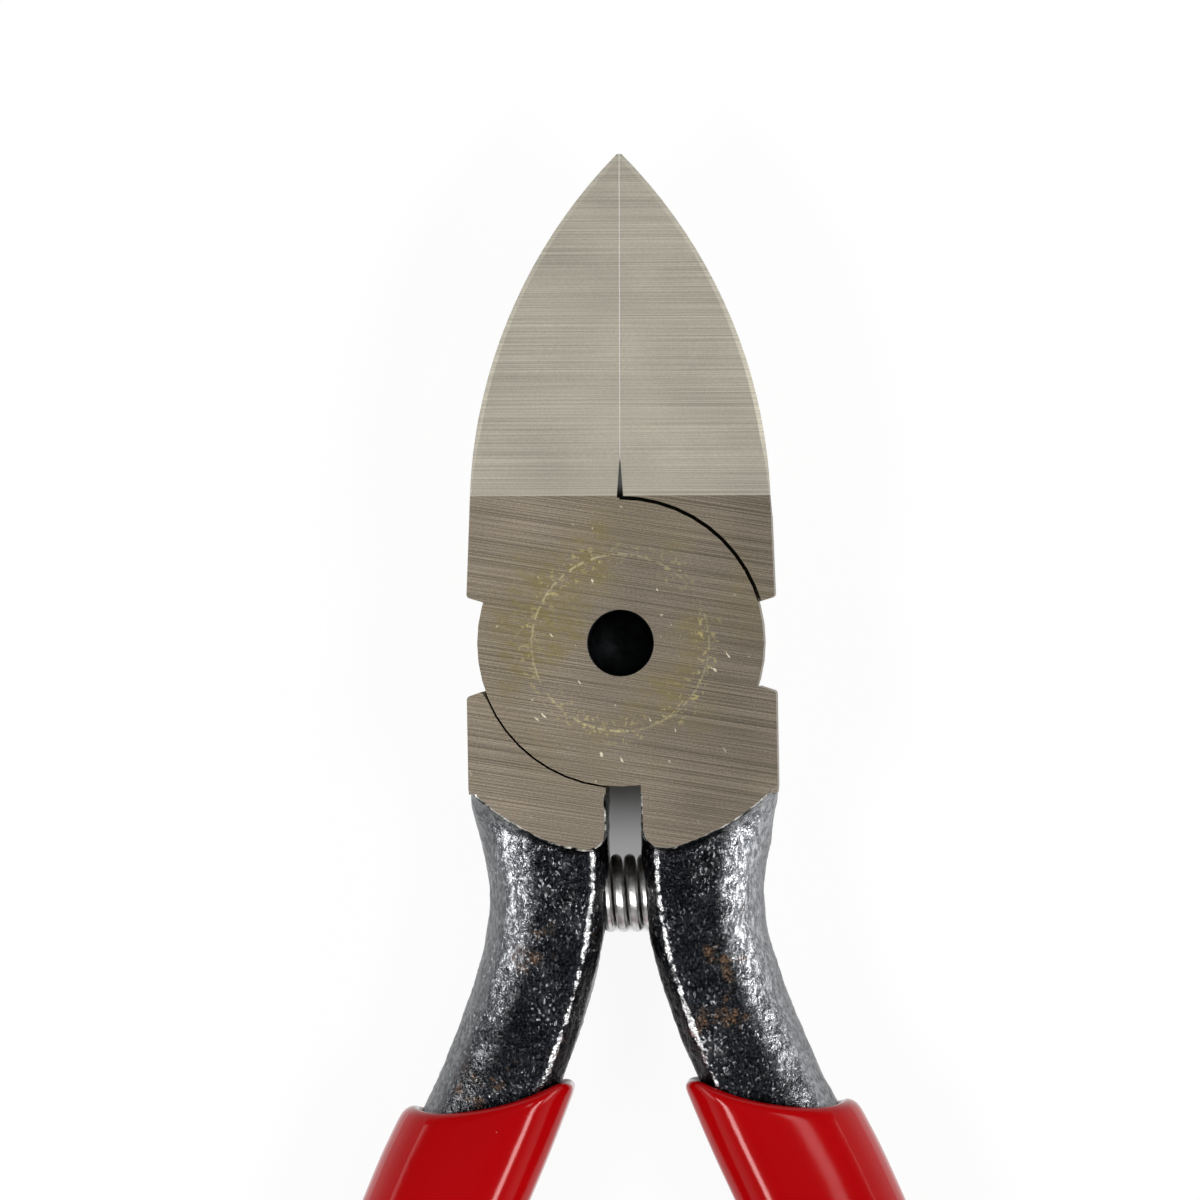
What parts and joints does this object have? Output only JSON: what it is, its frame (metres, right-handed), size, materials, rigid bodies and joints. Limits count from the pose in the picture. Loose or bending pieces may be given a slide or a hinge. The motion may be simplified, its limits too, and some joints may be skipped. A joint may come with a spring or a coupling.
{
  "type": "gate cutter",
  "caption": "Flush-cutting plastic nipper with a riveted lap joint, a coil return spring between the necks and red sleeves on bowed handles.",
  "frame": {"origin": "on the pivot axis, in the plane of the back ground face of the joint", "axes": "+Y to the blade tips, +Z out of the flush face where the cutting edges meet, +X to the right as that face is seen"},
  "size_m": [0.0527, 0.1501, 0.01],
  "materials": {
    "ground_steel": "ground bare steel on the blades and joint, black forging scale on the necks",
    "rivet_steel": "ground flush with the joint face",
    "spring_steel": "bright drawn wire",
    "red_vinyl": "glossy soft vinyl sleeve"
  },
  "bodies": {
    "back": {"back_half": "ground_steel", "left_grip": "red_vinyl", "return_spring": "spring_steel"},
    "front": {"front_half": "ground_steel", "pivot_rivet": "rivet_steel", "right_grip": "red_vinyl"}
  },
  "joints": [
    {"name": "jaw_pivot", "type": "hinge", "parent": "back", "child": "front", "pos_m": [0, 0, 0.005], "axis": [0, 0, 1], "range_deg": [0, 33], "stiffness_Nm_per_rad": 0.9, "springref_deg": 25.78, "deforming": ["return_spring"]}
  ]
}
